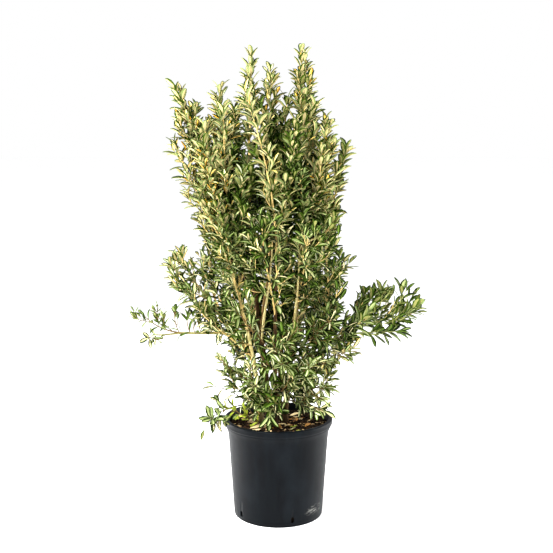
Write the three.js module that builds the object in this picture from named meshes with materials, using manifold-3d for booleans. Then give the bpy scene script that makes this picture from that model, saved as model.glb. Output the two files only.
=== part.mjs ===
// A potted evergreen spindle with gold-centred leaves, about 1.3 m tall, in a black plastic nursery pot.
// Five stems rise from the root ball. Boughs leave them, and each bough ends where a mass of foliage
// starts: one leader, side twigs that leave it by a seeded rule, and leaves in crossed pairs.
// Millimetres, +Z up, origin at the middle of the pot's flat underside, -Y towards the viewer.
import * as THREE from "three";
import { mergeVertices } from "three/addons/utils/BufferGeometryUtils.js";
import Module from "manifold-3d";

const wasm = await Module();
wasm.setup();

// Pot and root ball
const POT_HEIGHT = 275;
const RIM_RADIUS = 150;
const RIM_HEIGHT = 20;
const RIM_LIP = 8; // width of the rim's flat top
const BODY_TOP_RADIUS = 140;
const FOOT_RADIUS = 123;
const FOOT_CHAMFER = 4;
const WALL = 3;
const FLOOR = 5;
const POT_SIDES = 40;
const SLOT_COUNT = 5;
const SLOT_WIDTH = 9;
const SLOT_HEIGHT = 17;
const SLOT_BOTTOM = 12;
const SLOT_FIRST = -54; // degrees from the front, towards +X
const SOIL_TOP = 258;
const SOIL_EDGE_DROP = 5;

// Clearances
const GAP = 0.3; // between pieces that touch on the real plant
const MERGE = 0.01; // faces that lie this flat are made one
const LIMB_CLEARANCE = 0.8; // between a limb and the twigs and leaves of another mass

// Wood
const STEM_SIDES = 8;
const STEM_STEPS = 8;
const BOUGH_SIDES = 6;
const BOUGH_STEPS = 4;
const LEADER_SIDES = 4;
const LEADER_STEPS = 4;
const LEADER_TURN = Math.PI / 4; // to the middle of a leader's face, where twigs and leaves leave it
const TWIG_SIDES = 3;
const TWIG_STEPS = 1;
const BOUGH_SHARE = 0.62; // a bough's radius at its foot, as a share of its stem's there
const BOUGH_LEAST = 3.6; // and the least it may be
const BOUGH_TIP = 3;
const LEADER_FOOT = 2.8; // where a leader leaves a limb's side; at a limb's tip it takes the tip's radius
const LEADER_TIP = 2;
const TWIG_SHARE = 0.55; // a twig's foot, as a share of its leader there
const TWIG_TIP = 1.2;
const FLARE = 0.5; // a stem's extra radius at the ground, as a share of its own
const FLARE_HEIGHT = 0.08; // as a share of the stem's length
const UP = new THREE.Vector3(0, 0, 1);

// Leaves, larger than life so that few of them fill the crown
const LEAF_LENGTH = 102;
const LEAF_TO_GIRTH = 1.3; // the longest leaf of a small mass, as a share of its space's radius
const LEAF_WIDTH = 0.46; // as a share of the length
const LEAF_THICKNESS = 0.05;
const LEAF_WIDEST = 0.6; // where the leaf is widest, as a share of the length
const LEAF_FOLD = 0.08; // how far the edges stand above the midrib
const LEAF_TIP_SHARE = 0.56; // the last leaves of a leader, as a share of its first
const TWIG_LEAF_SHARE = 0.85; // and a side twig's leaves
const LEAF_TRIES = 5;
const LEAF_SWING = 0.12; // how much wider each further try may turn, in radians
const LEAF_SHRINK = 0.09; // and how much shorter its leaf is
const PAIR_STEP = 4; // between the two leaves of a pair, along the twig
const PAIR_SPACING = 64; // along a leader or twig
const PAIR_CROWDING = 0.8; // under 1, so that pairs stand closer towards the tip
const TWIG_SPACING = 68; // along a leader, between side twigs
const SPACE_TAPER = 0.3; // how much narrower a mass's space is at its tip
const SPACE_BEYOND = 34; // how far the space runs on past the leader's tip
const LEAFLESS = 0.16; // how far up a leader the first leaves stand
const TWIG_LEAFLESS = 0.5;

// Stems: foot on the soil, way point and tip, then the radii at foot and tip.
const STEMS = [
  { name: "stem_trunk", foot: [-24, 12], by: [-46, 18, 430], tip: [-70, 26, 690], radii: [10, 5.5] },
  { name: "stem_left", foot: [-46, -24], by: [-68, -56, 450], tip: [-122, -88, 690], radii: [6.5, 4] },
  { name: "stem_right", foot: [18, 2], by: [42, 0, 460], tip: [66, -16, 760], radii: [7.5, 4.2] },
  { name: "stem_front", foot: [-8, -42], by: [-10, -72, 480], tip: [-6, -124, 730], radii: [6, 3.8] },
  { name: "stem_back", foot: [2, 48], by: [14, 92, 480], tip: [20, 134, 740], radii: [7.5, 4.2] },
];

// Boughs: the stem each leaves, how far up it, the tip, and how upright the tip turns.
const BOUGHS = [
  { name: "bough_left", on: "stem_trunk", at: 0.88, tip: [-164, -6, 770], rise: 0.85 },
  { name: "bough_left_inner", on: "stem_trunk", at: 0.72, tip: [-128, 62, 780], rise: 0.7 },
  { name: "bough_middle", on: "stem_trunk", at: 0.56, tip: [-22, 2, 740], rise: 0.8 },
  { name: "bough_right", on: "stem_right", at: 0.8, tip: [98, -36, 740], rise: 0.8 },
  { name: "bough_right_edge", on: "stem_right", at: 0.7, tip: [114, 14, 690], rise: 0.7 },
  { name: "bough_back", on: "stem_back", at: 0.9, tip: [0, 200, 720], rise: 0.6 },
  { name: "bough_back_left", on: "stem_back", at: 0.72, tip: [-84, 152, 700], rise: 0.6 },
  { name: "bough_mid_left", on: "stem_left", at: 0.66, tip: [-160, -40, 590], rise: 0.5 },
  { name: "bough_mid_right", on: "stem_right", at: 0.5, tip: [112, -46, 560], rise: 0.5 },
  { name: "bough_mid_back_left", on: "stem_trunk", at: 0.48, tip: [-104, 112, 570], rise: 0.5 },
  { name: "bough_thin_left", on: "stem_trunk", at: 0.52, tip: [-250, -30, 517], rise: -0.08 },
  { name: "bough_low_right", on: "stem_right", at: 0.34, tip: [210, 6, 520], rise: 0.1 },
];

// Masses: the limb each grows on and how far up it, the leader's tip, the radius of the mass's space
// round its leader, and how upright the leader ends.
const MASSES = [
  { name: "crown_tallest", on: "stem_right", at: 1, tip: [60, -2, 1240], girth: 80, rise: 0.9 },
  { name: "crown_tall_left", on: "stem_trunk", at: 1, tip: [-68, 58, 1236], girth: 66, rise: 0.7 },
  { name: "crown_middle", on: "bough_middle", at: 1, tip: [-22, 10, 1194], girth: 75, rise: 0.9 },
  { name: "crown_left", on: "bough_left", at: 1, tip: [-262, 0, 1146], girth: 80, rise: -0.35 },
  { name: "crown_left_inner", on: "bough_left_inner", at: 1, tip: [-158, 44, 1148], girth: 80, rise: 0.8 },
  { name: "crown_left_front", on: "stem_left", at: 1, tip: [-186, -116, 1050], girth: 85, rise: 0.7 },
  { name: "crown_left_edge", on: "stem_left", at: 0.84, tip: [-262, -52, 1006], girth: 70, rise: -0.1 },
  { name: "crown_front_long", on: "stem_front", at: 1, tip: [-76, -152, 1150], girth: 74, rise: -0.3 },
  { name: "crown_front_right", on: "stem_front", at: 0.84, tip: [40, -134, 1060], girth: 85, rise: 0.8 },
  { name: "crown_right", on: "bough_right", at: 1, tip: [124, -24, 1066], girth: 76, rise: 0.8 },
  { name: "crown_right_front", on: "stem_right", at: 0.88, tip: [110, -104, 980], girth: 76, rise: 0.7 },
  { name: "crown_right_edge", on: "bough_right_edge", at: 1, tip: [174, 4, 988], girth: 54, rise: -0.1 },
  { name: "crown_back", on: "bough_back", at: 1, tip: [-12, 226, 1070], girth: 105, rise: 0.8 },
  { name: "crown_back_left", on: "bough_back_left", at: 1, tip: [-124, 168, 1100], girth: 105, rise: 0.8 },
  { name: "crown_back_right", on: "stem_back", at: 1, tip: [84, 152, 1130], girth: 105, rise: 0.9 },
  { name: "mid_left", on: "bough_mid_left", at: 1, tip: [-170, -44, 812], girth: 62, rise: 0.7 },
  { name: "mid_left_front", on: "stem_left", at: 0.6, tip: [-134, -150, 800], girth: 78, rise: 0.6 },
  { name: "mid_front", on: "stem_front", at: 0.66, tip: [-40, -212, 800], girth: 95, rise: 0.6 },
  { name: "mid_front_right", on: "stem_right", at: 0.62, tip: [72, -186, 780], girth: 95, rise: 0.6 },
  { name: "mid_right", on: "bough_mid_right", at: 1, tip: [120, -74, 790], girth: 68, rise: 0.6 },
  { name: "mid_right_edge", on: "stem_right", at: 0.56, tip: [166, 20, 680], girth: 66, rise: 0.3 },
  { name: "mid_back_left", on: "bough_mid_back_left", at: 1, tip: [-144, 112, 800], girth: 86, rise: 0.6 },
  { name: "mid_back_right", on: "stem_back", at: 0.5, tip: [110, 160, 780], girth: 94, rise: 0.6 },
  { name: "side_left", on: "stem_left", at: 0.5, tip: [-262, -20, 706], girth: 70, rise: 0.3 },
  { name: "side_left_low", on: "stem_left", at: 0.4, tip: [-256, -50, 646], girth: 70, rise: 0.2 },
  { name: "thin_left", on: "bough_thin_left", at: 1, tip: [-358, -30, 550], girth: 75, rise: 0.4 },
  { name: "low_left_upper", on: "stem_left", at: 0.32, tip: [-204, -78, 566], girth: 75, rise: 0.3 },
  { name: "low_left", on: "stem_left", at: 0.24, tip: [-144, -84, 440], girth: 56, rise: 0.4 },
  { name: "low_front_left", on: "stem_front", at: 0.42, tip: [-96, -166, 590], girth: 85, rise: 0.4 },
  { name: "low_front", on: "stem_front", at: 0.28, tip: [10, -160, 520], girth: 80, rise: 0.5 },
  { name: "low_right", on: "bough_low_right", at: 1, tip: [360, 2, 576], girth: 78, rise: 0.3 },
  { name: "low_right_upper", on: "bough_low_right", at: 0.6, tip: [250, 10, 612], girth: 70, rise: 0.4 },
  { name: "low_right_under", on: "bough_low_right", at: 0.86, tip: [302, -30, 520], girth: 60, rise: 0 },
  { name: "low_right_middle", on: "bough_low_right", at: 0.34, tip: [222, -70, 560], girth: 70, rise: 0.3 },
  { name: "low_right_inner", on: "stem_right", at: 0.36, tip: [126, -104, 560], girth: 80, rise: 0.4 },
  { name: "low_right_front", on: "stem_right", at: 0.26, tip: [180, -84, 476], girth: 66, rise: 0.1 },
  { name: "low_right_shoot", on: "stem_right", at: 0.12, tip: [126, -60, 384], girth: 65, rise: 0.3 },
  { name: "low_back", on: "stem_back", at: 0.3, tip: [70, 190, 540], girth: 100, rise: 0.4 },
  { name: "low_back_left", on: "stem_trunk", at: 0.24, tip: [-116, 104, 480], girth: 90, rise: 0.4 },
  { name: "drooping_left", on: "stem_left", at: 0.14, tip: [-192, -64, 278], girth: 60, rise: -0.7 },
  { name: "base_front", on: "stem_front", at: 0.08, tip: [-30, -112, 350], girth: 60, rise: 0.6 },
];

const PALETTE = {
  pot: { color: 0x2c3134, roughness: 0.42, metalness: 0 },
  soil: { color: 0x2b1c12, roughness: 0.95, metalness: 0 },
  bark: { color: 0x8a7a4f, roughness: 0.8, metalness: 0 },
  foliage: { color: 0x8d9a4e, roughness: 0.55, metalness: 0 },
};

// A closed geometry as a solid.
function toSolid(geometry) {
  const bare = geometry.clone();
  bare.deleteAttribute("normal");
  bare.deleteAttribute("uv");
  const merged = mergeVertices(bare, 1e-4);
  return new wasm.Manifold(
    new wasm.Mesh({
      numProp: 3,
      vertProperties: merged.attributes.position.array,
      triVerts: new Uint32Array(merged.index.array),
    }),
  );
}

function toGeometry(solid) {
  const mesh = solid.getMesh();
  const geometry = new THREE.BufferGeometry();
  geometry.setAttribute("position", new THREE.BufferAttribute(mesh.vertProperties, mesh.numProp));
  geometry.setIndex(new THREE.BufferAttribute(mesh.triVerts, 1));
  geometry.computeVertexNormals();
  return geometry;
}

// The largest body of a solid. Loose scraps and sealed hollows are separate bodies, so both go.
function mainBody(solid) {
  return solid.decompose().reduce((best, body) => (body.volume() > best.volume() ? body : best));
}

// Seeded random numbers from 0 to 1.
function drawsFrom(seed) {
  let state = seed >>> 0;
  return () => {
    state = (state + 0x6d2b79f5) >>> 0;
    let mixed = Math.imul(state ^ (state >>> 15), state | 1);
    mixed ^= mixed + Math.imul(mixed ^ (mixed >>> 7), mixed | 61);
    return ((mixed ^ (mixed >>> 14)) >>> 0) / 4294967296;
  };
}

function vector(point) {
  return new THREE.Vector3(...point);
}

// A direction turned towards straight up by a share, or down where the share is negative.
function turnedUp(direction, share) {
  const goal = share < 0 ? UP.clone().negate() : UP;
  return direction.clone().lerp(goal, Math.abs(share)).normalize();
}

// A smooth line that leaves foot along one direction and reaches tip along another.
function bentLine(foot, tip, startWay, endWay) {
  const reach = foot.distanceTo(tip) * 0.36;
  return new THREE.CubicBezierCurve3(
    foot,
    foot.clone().addScaledVector(startWay, reach),
    tip.clone().addScaledVector(endWay, -reach),
    tip,
  );
}

// A place along a curve, with its tangent and two sideways directions. They are taken from the world
// axis that the whole curve leans least on, so they don't twist.
function frameAt(curve, share) {
  const span = curve.getPointAt(1).sub(curve.getPointAt(0));
  const sides = [new THREE.Vector3(1, 0, 0), new THREE.Vector3(0, 1, 0)];
  const [guide] = sides.sort((a, b) => Math.abs(a.dot(span)) - Math.abs(b.dot(span)));
  const along = curve.getTangentAt(share);
  const side = guide.clone().addScaledVector(along, -guide.dot(along)).normalize();
  return { at: curve.getPointAt(share), along, side, other: side.clone().cross(along) };
}

// A round tapering limb: a cylinder bent along the curve.
function limbGeometry(curve, radiusAt, sides, steps) {
  const geometry = new THREE.CylinderGeometry(1, 1, 1, sides, steps);
  const frames = Array.from({ length: steps + 1 }, (_, i) => frameAt(curve, i / steps));
  const position = geometry.attributes.position;
  const point = new THREE.Vector3();
  for (let i = 0; i < position.count; i++) {
    point.fromBufferAttribute(position, i);
    const share = point.y + 0.5;
    const frame = frames[Math.round(share * steps)];
    const radius = radiusAt(share);
    const placed = frame.at
      .clone()
      .addScaledVector(frame.side, point.x * radius)
      .addScaledVector(frame.other, point.z * radius);
    position.setXYZ(i, placed.x, placed.y, placed.z);
  }
  return geometry;
}

// A leaf of eight faces: an octahedron stretched to a blade that is widest past its middle and
// folded up along the midrib.
function leafGeometry({ root, way, across, normal, length }) {
  const geometry = new THREE.OctahedronGeometry(1, 0);
  const position = geometry.attributes.position;
  for (let i = 0; i < position.count; i++) {
    const x = Math.abs(position.getX(i)) > 0.5 ? (position.getX(i) + 1) / 2 : LEAF_WIDEST;
    const y = (position.getY(i) * LEAF_WIDTH) / 2;
    const z = (position.getZ(i) * LEAF_THICKNESS) / 2 + Math.abs(position.getY(i)) * LEAF_FOLD;
    position.setXYZ(i, x, y, z);
  }
  const basis = new THREE.Matrix4().makeBasis(way, across, normal);
  basis.scale(new THREE.Vector3(length, length, length)).setPosition(root);
  return geometry.applyMatrix4(basis);
}

// The places on a leaf that have to lie in its mass's space.
function leafSpots({ root, way, across, normal, length }) {
  const middle = root.clone().addScaledVector(way, length * LEAF_WIDEST);
  const raised = middle.clone().addScaledVector(normal, length * LEAF_FOLD);
  const half = (length * LEAF_WIDTH) / 2;
  return [
    middle,
    raised.clone().addScaledVector(across, half),
    raised.clone().addScaledVector(across, -half),
    root.clone().addScaledVector(way, length * 0.85),
  ];
}

// A limb keeps its line and radii, so that others can grow on it and keep clear of it.
const limbs = new Map();

function addLimb(name, curve, radiusAt, sides, steps) {
  const grownBy = (extra) => toSolid(limbGeometry(curve, (share) => radiusAt(share) + extra, sides, steps));
  const limb = { name, curve, radiusAt, grownBy, solid: grownBy(0) };
  limbs.set(name, limb);
  return limb;
}

function addStem({ name, foot, by, tip, radii }) {
  const start = new THREE.Vector3(...foot, SOIL_TOP + GAP);
  const bend = vector(by);
  const end = vector(tip);
  const lower = start.clone().addScaledVector(UP, (bend.z - start.z) * 0.4);
  const way = turnedUp(bend.clone().sub(start).normalize(), 0.3);
  const upper = bend.clone().addScaledVector(way, bend.distanceTo(end) * 0.3);
  const radiusAt = (share) => {
    const flare = 1 + FLARE * Math.exp(-share / FLARE_HEIGHT);
    return THREE.MathUtils.lerp(radii[0], radii[1], share) * flare;
  };
  addLimb(name, new THREE.CubicBezierCurve3(start, lower, upper, end), radiusAt, STEM_SIDES, STEM_STEPS);
}

// The line of a limb or leader that leaves a parent: on from its tip, or out of its side.
function lineFrom({ on, at, tip, rise }) {
  const parent = limbs.get(on).curve;
  const tangent = parent.getTangentAt(at);
  const foot = parent.getPointAt(at);
  if (at === 1) foot.addScaledVector(tangent, GAP);
  const way = vector(tip).sub(foot).normalize();
  const startWay = at === 1 ? tangent : way.clone().lerp(tangent, 0.25).normalize();
  return bentLine(foot, vector(tip), startWay, turnedUp(way, rise));
}

function addBough(bough) {
  const stem = limbs.get(bough.on);
  const foot = Math.max(BOUGH_LEAST, BOUGH_SHARE * stem.radiusAt(bough.at));
  const radiusAt = (share) => THREE.MathUtils.lerp(foot, BOUGH_TIP, share);
  const limb = addLimb(bough.name, lineFrom(bough), radiusAt, BOUGH_SIDES, BOUGH_STEPS);
  limb.solid = mainBody(limb.solid.subtract(stem.grownBy(GAP)));
}

STEMS.forEach(addStem);
BOUGHS.forEach(addBough);

// Each mass with its leader's line, and points along it that measure its space.
const masses = MASSES.map((mass) => {
  const line = lineFrom(mass);
  const samples = line.getSpacedPoints(8);
  samples.push(line.getPointAt(1).addScaledVector(line.getTangentAt(1), SPACE_BEYOND));
  return { ...mass, line, samples };
});

// How far a point is from a mass's leader, as a share of the mass's space there.
function depthIn({ girth, samples }, point) {
  let least = Infinity;
  const nearest = new THREE.Vector3();
  for (let i = 1; i < samples.length; i++) {
    const span = new THREE.Line3(samples[i - 1], samples[i]);
    const share = span.closestPointToPointParameter(point, true);
    span.at(share, nearest);
    const along = (i - 1 + share) / (samples.length - 1);
    least = Math.min(least, nearest.distanceTo(point) / (girth * (1 - SPACE_TAPER * along)));
  }
  return least;
}

// True where a point is in the space of this mass and nearer its leader than any other.
function owns(own, point) {
  const depth = depthIn(own, point);
  return depth <= 1 && masses.every((other) => other === own || depth < depthIn(other, point));
}

function boxed(solid) {
  return { solid, box: solid.boundingBox() };
}

// True where a part touches none of the others.
function clearOf(part, others) {
  const { min, max } = part.box;
  return others.every(({ solid, box }) => {
    const apart = [0, 1, 2].some((k) => box.min[k] > max[k] || box.max[k] < min[k]);
    return apart || part.solid.intersect(solid).isEmpty();
  });
}

// A direction that leans away from a shoot, round it by the angle turn.
function leaning(frame, turn, lean) {
  const out = frame.side
    .clone()
    .multiplyScalar(Math.cos(turn))
    .addScaledVector(frame.other, Math.sin(turn));
  return frame.along.clone().multiplyScalar(Math.cos(lean)).addScaledVector(out, Math.sin(lean));
}

// One mass: its leader, then side twigs, then leaves in crossed pairs. A twig or leaf that would leave
// the mass's space or touch anything but its own shoot is tried another way and then left out.
function growMass(mass, obstacles, seed) {
  const draw = drawsFrom(seed);
  const between = (low, high) => low + (high - low) * draw();
  const degrees = (low, high) => THREE.MathUtils.degToRad(between(low, high));
  const foot = mass.at === 1 ? limbs.get(mass.on).radiusAt(1) : LEADER_FOOT;
  const taper = (share) => THREE.MathUtils.lerp(foot, LEADER_TIP, share);
  const leader = { line: mass.line, radiusAt: taper, leafless: LEAFLESS };
  leader.part = boxed(toSolid(limbGeometry(mass.line, taper, LEADER_SIDES, LEADER_STEPS)));
  const shoots = [leader];
  const parts = [leader.part];

  // A side twig, shortened until it fits. It is joined to the leader alone.
  function addTwig(at, turn) {
    const frame = frameAt(mass.line, at);
    const way = leaning(frame, turn, degrees(42, 62));
    const full = mass.girth * (1 - SPACE_TAPER * at) * between(0.8, 1);
    const radiusAt = (share) => THREE.MathUtils.lerp(taper(at) * TWIG_SHARE, TWIG_TIP, share);
    for (const length of [full, 0.75 * full, 0.5 * full]) {
      const tip = frame.at.clone().addScaledVector(way, length).addScaledVector(UP, length * 0.3);
      if (![0.6, 1].every((share) => owns(mass, frame.at.clone().lerp(tip, share)))) continue;
      const line = bentLine(frame.at, tip, way, turnedUp(way, 0.5));
      const part = boxed(toSolid(limbGeometry(line, radiusAt, TWIG_SIDES, TWIG_STEPS)));
      if (!clearOf(part, [...obstacles, ...parts.slice(1)])) continue;
      parts.push(part);
      shoots.push({ line, radiusAt, leafless: TWIG_LEAFLESS, part });
      return true;
    }
    return false;
  }

  // One leaf of a pair, tried at several angles. The last pair of a shoot stands nearly upright on it.
  function addLeaf(shoot, at, turn, last) {
    const frame = frameAt(shoot.line, at);
    const full = Math.min(LEAF_LENGTH, mass.girth * LEAF_TO_GIRTH);
    const share = shoot === leader ? THREE.MathUtils.lerp(1, LEAF_TIP_SHARE, at * at) : TWIG_LEAF_SHARE;
    for (let attempt = 0; attempt < LEAF_TRIES; attempt++) {
      const lean = last ? degrees(14, 30) : degrees(36, 64);
      const swing = LEAF_SWING * attempt;
      const way = leaning(frame, turn + between(-swing, swing), lean).normalize();
      const normal = frame.along.clone().addScaledVector(way, -frame.along.dot(way)).normalize();
      const across = new THREE.Vector3().crossVectors(normal, way);
      const length = full * share * between(0.82, 1) * (1 - LEAF_SHRINK * attempt);
      const leaf = { root: frame.at, way, across, normal, length };
      if (!leafSpots(leaf).every((spot) => owns(mass, spot))) continue;
      const part = boxed(toSolid(leafGeometry(leaf)));
      const others = parts.filter((other) => other !== shoot.part);
      if (!clearOf(part, [...obstacles, ...others])) continue;
      parts.push(part);
      return;
    }
  }

  const twigCount = Math.max(2, Math.round(mass.line.getLength() / TWIG_SPACING));
  for (let k = 0; k < twigCount; k++) {
    const at = THREE.MathUtils.lerp(0.12, 0.86, (k + between(0.2, 0.8)) / twigCount);
    const turns = [0, 2, 1, 3].map((quarter) => LEADER_TURN + ((k + quarter) * Math.PI) / 2);
    turns.some((turn) => addTwig(at, turn + between(-0.2, 0.2)));
  }

  for (const shoot of shoots) {
    const length = shoot.line.getLength();
    const pairs = Math.max(1, Math.round((length * (1 - shoot.leafless)) / PAIR_SPACING));
    const turn = shoot === leader ? LEADER_TURN : 0;
    for (let k = 0; k <= pairs; k++) {
      const last = k === pairs;
      const share = (k / pairs) ** PAIR_CROWDING;
      const at = Math.min(0.99, THREE.MathUtils.lerp(shoot.leafless, 1, share));
      addLeaf(shoot, at, turn + (k * Math.PI) / 2, last);
      addLeaf(shoot, at - PAIR_STEP / length, turn + (k * Math.PI) / 2 + Math.PI, last);
    }
  }
  return wasm.Manifold.union(parts.map((part) => part.solid));
}

const plant = new THREE.Group();
plant.name = "potted_spindle";

function addNode(name, solid, kind) {
  const mesh = new THREE.Mesh(toGeometry(solid), new THREE.MeshStandardMaterial(PALETTE[kind]));
  mesh.name = name;
  plant.add(mesh);
}

// A turned shape: the profile's radius and height pairs swept round +Z.
function turned(profile) {
  const geometry = new THREE.LatheGeometry(profile.map(([r, z]) => new THREE.Vector2(r, z)), POT_SIDES);
  return toSolid(geometry.rotateX(Math.PI / 2));
}

// The pot wall's outer radius at a height, below the rim.
function bodyRadius(z) {
  return THREE.MathUtils.lerp(FOOT_RADIUS, BODY_TOP_RADIUS, z / (POT_HEIGHT - RIM_HEIGHT));
}

function potSolid() {
  const rimFoot = POT_HEIGHT - RIM_HEIGHT;
  const roundness = 4; // of the rim's outer corners
  const profile = [
    [0, 0],
    [bodyRadius(0) - FOOT_CHAMFER, 0],
    [bodyRadius(0), FOOT_CHAMFER],
    [bodyRadius(rimFoot), rimFoot],
    [RIM_RADIUS - roundness, rimFoot + 1],
    [RIM_RADIUS, rimFoot + 1 + roundness],
    [RIM_RADIUS, POT_HEIGHT - roundness],
    [RIM_RADIUS - roundness, POT_HEIGHT],
    [RIM_RADIUS - RIM_LIP, POT_HEIGHT],
    [bodyRadius(rimFoot) - WALL, rimFoot],
    [bodyRadius(FLOOR) - WALL, FLOOR],
    [0, FLOOR],
  ];
  let pot = turned(profile);
  for (let k = 0; k < SLOT_COUNT; k++) {
    const slot = new THREE.BoxGeometry(SLOT_WIDTH, 6 * WALL, SLOT_HEIGHT);
    slot.translate(0, -FOOT_RADIUS, SLOT_BOTTOM + SLOT_HEIGHT / 2);
    slot.rotateZ(THREE.MathUtils.degToRad(SLOT_FIRST + (k * 360) / SLOT_COUNT));
    pot = pot.subtract(toSolid(slot));
  }
  return pot;
}

function soilSolid() {
  const inner = (z) => bodyRadius(z) - WALL - GAP;
  return turned([
    [0, FLOOR + GAP],
    [inner(FLOOR), FLOOR + GAP],
    [inner(SOIL_TOP - SOIL_EDGE_DROP), SOIL_TOP - SOIL_EDGE_DROP],
    [inner(SOIL_TOP) * 0.85, SOIL_TOP],
    [0, SOIL_TOP],
  ]);
}

const pot = potSolid();
const soil = soilSolid();
addNode("pot", pot, "pot");
addNode("soil", soil, "soil");
for (const [name, limb] of limbs) addNode(name, limb.solid, "bark");

// Each mass keeps clear of the limbs, the pot, the soil and the masses made before it.
const obstacles = [boxed(pot), boxed(soil)];
for (const limb of limbs.values()) obstacles.push(boxed(limb.grownBy(LIMB_CLEARANCE)));
masses.forEach((mass, index) => {
  const fused = growMass(mass, obstacles, index + 1).subtract(limbs.get(mass.on).grownBy(GAP));
  const solid = mainBody(fused.simplify(MERGE));
  obstacles.push(boxed(solid));
  addNode(mass.name, solid, "foliage");
});

export default plant;
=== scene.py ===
"""Looks for a potted gold-centred spindle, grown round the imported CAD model.

Every stem, bough and mass of the model is grown again here by the same rule, with bark, finer twigs and
thousands of leaves. Lists of limbs and masses are in millimetres, as in the model; meshes are in metres.
"""
import math
import random

import bpy
import numpy as np
from mathutils import Euler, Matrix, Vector


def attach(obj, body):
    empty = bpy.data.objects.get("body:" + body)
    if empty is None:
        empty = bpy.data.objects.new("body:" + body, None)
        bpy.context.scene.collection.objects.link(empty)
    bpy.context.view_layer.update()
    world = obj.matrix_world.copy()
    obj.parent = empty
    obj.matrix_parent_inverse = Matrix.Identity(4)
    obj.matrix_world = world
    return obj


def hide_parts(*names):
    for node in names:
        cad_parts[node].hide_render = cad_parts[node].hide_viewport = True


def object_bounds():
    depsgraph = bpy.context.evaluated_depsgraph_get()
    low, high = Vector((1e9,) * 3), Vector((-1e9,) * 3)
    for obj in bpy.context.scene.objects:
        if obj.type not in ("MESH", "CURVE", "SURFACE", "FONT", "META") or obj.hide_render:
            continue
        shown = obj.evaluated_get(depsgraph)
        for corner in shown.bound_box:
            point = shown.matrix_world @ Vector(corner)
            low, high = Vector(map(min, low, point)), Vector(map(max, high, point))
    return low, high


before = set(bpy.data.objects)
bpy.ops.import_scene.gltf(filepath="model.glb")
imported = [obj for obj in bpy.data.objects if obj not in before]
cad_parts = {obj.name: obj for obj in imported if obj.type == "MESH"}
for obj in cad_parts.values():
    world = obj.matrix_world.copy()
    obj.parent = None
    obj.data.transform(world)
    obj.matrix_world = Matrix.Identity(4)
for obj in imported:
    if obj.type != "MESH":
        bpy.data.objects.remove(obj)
cad_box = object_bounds()

MM = 0.001
UP = np.array([0.0, 0.0, 1.0])
WHITE = (255, 255, 255)

# Pot and root ball, as in the model
POT_HEIGHT = 275 * MM
RIM_RADIUS = 150 * MM
RIM_HEIGHT = 20 * MM
RIM_LIP = 8 * MM
BODY_TOP_RADIUS = 140 * MM
FOOT_RADIUS = 123 * MM
WALL = 3 * MM
FLOOR = 5 * MM
SLOT_COUNT = 5
SLOT_WIDTH = 9 * MM
SLOT_HEIGHT = 17 * MM
SLOT_BOTTOM = 12 * MM
SLOT_FIRST = -54  # degrees round the pot from its front
SOIL_TOP = 258 * MM
POT_SIDES = 144
SOIL_SIDES = 96
NEAR_AXIS = 0.001 * MM  # the radius at which swept shapes close
SOIL_EDGE_DROP = 5 * MM
RIM_CLEARANCE = 8 * MM  # how far leaves and twigs keep from the rim, the soil and the pot's wall
SOIL_CLEARANCE = 4 * MM
WALL_CLEARANCE = 24 * MM

# Wood: radii of limbs, some as a share of their parent's
BOUGH_SHARE = 0.62
BOUGH_LEAST = 3.6 * MM
BOUGH_TIP = 3 * MM
SHOOT_SHARE = 0.44
SHOOT_TIP = 1.8 * MM
LEADER_FOOT = 2.6 * MM
LEADER_TIP = 1.2 * MM
LEADER_SLIMMING = 0.6  # under 1, so that a leader slims most near its foot
FULL_GIRTH = 60  # a leader in a narrower space than this is thinner
TWIG_SHARE = 0.6
FINER_SHARE = 0.8
TWIG_TIP = 0.9 * MM
FLARE = 0.3  # how much thicker a stem is at the soil, and the share of its length over which that fades
FLARE_HEIGHT = 0.08
BEND = 0.36  # how far a limb keeps to its first and last directions, as a share of its length
STEM_BEND = (0.4, 0.3)  # the same for a stem, below and above its bend, and how far it turns up there
STEM_UPTURN = 0.3
LIMB_START = 0.25  # how far a limb starts along its parent
SCAR_SPACING = (38, 43, 48)  # between the old leaf scars of a limb, dealt out limb by limb

# Sides and steps of tubes
STEM_TUBE = (20, 110)
BOUGH_TUBE = (14, 60)
LEADER_TUBE = (7, 24)
TWIG_TUBE = (5, 6)

# Growth
LEAF_THICKNESS = 0.6 * MM
YOUNG_LENGTH = 60 * MM  # of a side twig, from its tip, where leaves are still small and upright
YOUNG_SPREAD = (9, 30)
YOUNG_SIZE = 0.82
SKYWARD = 0.5  # how far a leaf's upper side turns from its shoot's tip to the sky
TWIG_STRETCH = (0.1, 0.93)  # shares of a shoot between which side twigs leave it
TWIG_REACH = 1.1  # how long side twigs are, as a share of the space round their leader
TWIG_SIZES = (0.65, 1.05)
TWIG_LENGTHS = (1, 0.7, 0.45)  # shares of its full length that a twig tries, until one stays in its space
TWIG_RISE = 0.35
TWIG_UPTURN = 0.5
TWIG_TURN = 1.06  # from one twig to the next, in quarter turns
TWIG_SWING = 0.35  # how far twigs and leaves stray round their shoot, and how far leaves roll
LEAF_SWING = 0.14
LEAF_ROLL = 0.25
FORKED_LENGTH = 45 * MM  # twigs longer than this bear finer ones
FINER_SPACING = 32 * MM
FINER_LENGTH = 0.5  # of the twig that they leave
LEADER_BEYOND = 20 * MM  # how far a leader grows on past its tip in the model
LEADER_LEAF = 1.08  # size of a leader's leaves and spacing of its leaf pairs, beside its twigs'
LEADER_PAIRS = 1.3
SPACE_TAPER = 0.3
SPACE_BEYOND = 34 * MM
TWIG_SPACE = 0.95  # shares of a mass's space that tips of twigs and leaves keep to
LEAF_SPACE = 1.06
LEAFLESS = 0.1
TWIG_LEAFLESS = 0.2
REACH_MARGIN = 6 * MM  # how far a leaf may stand out of the model's box
LEAD_WEIGHT = 2.2  # how much the kind of leaf that leads a spray outweighs all kinds together

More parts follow.
